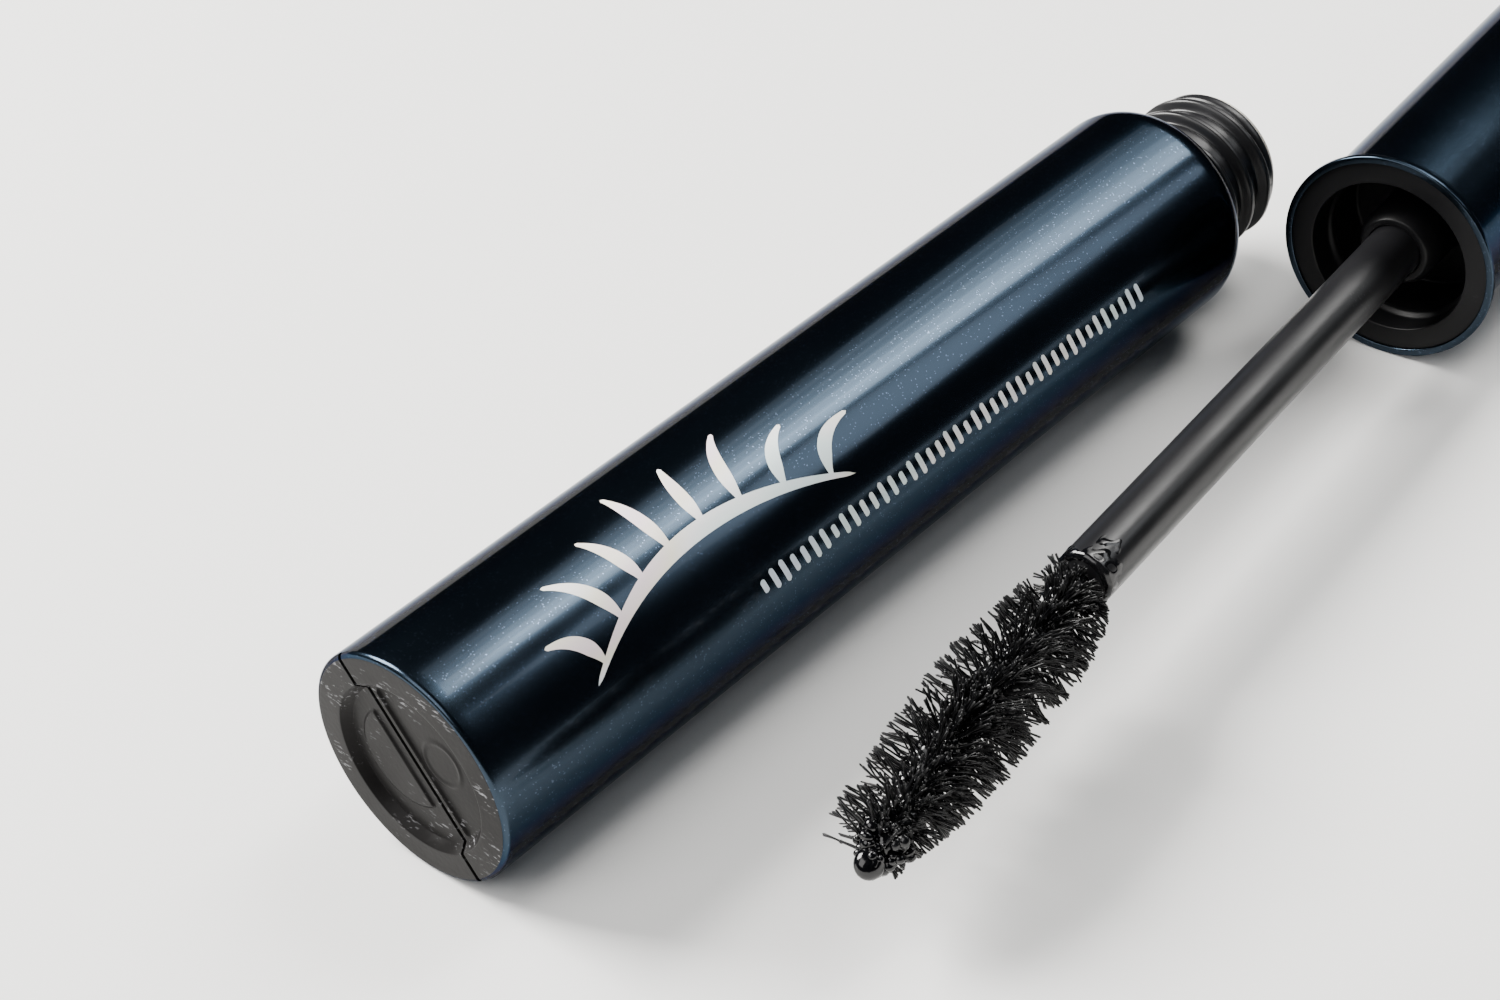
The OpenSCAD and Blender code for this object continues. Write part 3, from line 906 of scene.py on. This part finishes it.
def stroke(start, pull, end, thin, thick, belly=0.35, steps=36):
    """A brushed stroke: a curve from start to end pulled towards a third point, whose width
    swells to thick at belly of its length and runs out thin at the ends."""
    t = np.linspace(0, 1, steps)[:, None]
    centre = (1 - t) ** 2 * np.array(start) + 2 * t * (1 - t) * np.array(pull) + t ** 2 * np.array(end)
    t = t[:, 0]
    swell = np.where(t < belly, t / belly, (1 - t) / (1 - belly))
    width = thin + (thick - thin) * np.sin(swell * np.pi / 2) ** 1.2
    return ribbon(centre, width * np.clip(np.minimum(t, 1 - t) * 40, 0, 1) ** 0.5)


LASHES = 8
LID_START, LID_PULL, LID_END = np.array([10.4, 9.6]), np.array([21.5, 1.4]), np.array([37.2, 8.8])
lash = np.linspace(0.06, 0.94, LASHES)[:, None]
root = (1 - lash) ** 2 * LID_START + 2 * lash * (1 - lash) * LID_PULL + lash ** 2 * LID_END
lash_len = 4.2 + 1.6 * np.sin(np.pi * lash[:, 0]) + 0.9 * (np.arange(LASHES) % 2)
lean = np.linspace(-0.8, 0.95, LASHES)
shapes = [stroke(LID_START, LID_PULL, LID_END, 0.3, 1.35, belly=0.5, steps=72)]
for foot, size, angle in zip(root, lash_len, lean):
    upright = np.array([0.1 * size * angle, -0.6 * size])
    reach = size * np.array([math.sin(angle), -math.cos(angle)])
    shapes.append(stroke(foot, foot + upright, foot + reach, 0.3, 1.15, belly=0.35))
flourish = make_piece("foil_flourish", *join(shapes), [foil], sharp=50)
place_piece(flourish, "bottle", "navy_lacquer", "bottle")

# %% Row of slanted marks
MARKS = 42
MARK_STEPS = 17
MARK_W = 0.48
MARKS_ROUND = math.radians(72.5) * BOTTLE_R
shapes = []
for n, x in enumerate(np.linspace(26.0, 70.0, MARKS)):
    half = 0.55 + 0.42 * abs(math.sin(0.9 * n))
    t = np.linspace(-1, 1, MARK_STEPS)[:, None]
    centre = np.array([x, MARKS_ROUND]) + t * np.array([0.25 * half, half])
    shapes.append(ribbon(centre, MARK_W * (1 - t[:, 0] ** 8) ** 0.5))
marks = make_piece("foil_marks", *join(shapes), [foil], sharp=50)
place_piece(marks, "bottle", "navy_lacquer", "bottle")

# %% [markdown]
# ## Floor, lights and camera
# The object lies on a pale, matt floor. A row of strip lights stands behind and above, each
# dimmer than the last, and draws the broad streak along the lacquer, fading to one side. A
# weaker one beside it draws the second streak. The key and the fill light the floor and the
# brush. The rest of the room is dim, so that the lacquer stays dark between its streaks.

# %% Floor
paper, tree, shader = new_material("pale floor")
settle(shader, Roughness=0.9)
cloudy = use_group(tree, smudge, Scale=14.0, Edge=0.35)
vary_color(tree, shader, cloudy, (0.88, 0.875, 0.86), (0.85, 0.845, 0.83))
FLOOR_HALF = 1.6
FLOOR_LINES = 9
spread = np.linspace(-FLOOR_HALF, FLOOR_HALF, FLOOR_LINES)
floor_x, floor_y = np.meshgrid(spread, spread)
points = np.stack([floor_x, floor_y, np.zeros_like(floor_x)], -1)
floor = make_piece("floor", points, quads(FLOOR_LINES, FLOOR_LINES, wrap=False), [paper], merge=False)


# %% Lights
def soft_light(name, toward, away, width, height, power, color):
    """A rectangle of light at that direction and distance from the object, facing it."""
    lamp = bpy.data.lights.new(name, "AREA")
    lamp.shape = "RECTANGLE"
    lamp.size, lamp.size_y, lamp.energy, lamp.color = width, height, power, color
    holder = bpy.data.objects.new(name, lamp)
    toward = Vector(toward).normalized()
    holder.location = toward * away
    holder.rotation_euler = toward.to_track_quat("Z", "Y").to_euler()
    bpy.context.scene.collection.objects.link(holder)
    return holder


STREAK_POWER = 2.3
STREAK_STRIPS = [(-0.155, 1.0), (-0.045, 0.75), (0.065, 0.43),
                 (0.175, 0.25), (0.285, 0.16), (0.395, 0.11)]
for number, (aside, share) in enumerate(STREAK_STRIPS):
    soft_light(f"streak light {number}", (0.59, aside, 0.80), 0.9, 0.115, 0.44,
               STREAK_POWER * share, (1.0, 0.99, 0.97))
soft_light("second light", (0.59, -0.47, 0.66), 0.9, 0.26, 0.34, 1.1, (0.95, 0.97, 1.0))
soft_light("key light", (-0.25, 0.75, 0.65), 0.9, 0.45, 0.45, 30.0, (1.0, 0.985, 0.96))
soft_light("front fill", (-0.75, 0.10, 0.70), 0.9, 0.60, 0.60, 5.0, (1.0, 0.99, 0.98))
world = bpy.data.worlds.new("dim room")
world.use_nodes = True
world.node_tree.nodes["Background"].inputs["Color"].default_value = (0.60, 0.66, 0.75, 1)
world.node_tree.nodes["Background"].inputs["Strength"].default_value = 0.08
bpy.context.scene.world = world

# %% Camera
camera_data = bpy.data.cameras.new("camera")
camera_data.lens = 68.25
camera_data.sensor_width = 36
camera_data.clip_start = 0.01
camera = bpy.data.objects.new("camera", camera_data)
camera.location = (-0.14960, -0.10078, 0.13783)
camera.rotation_euler = [math.radians(angle) for angle in (51.43, 3.41, -48.65)]
bpy.context.scene.collection.objects.link(camera)
bpy.context.scene.camera = camera
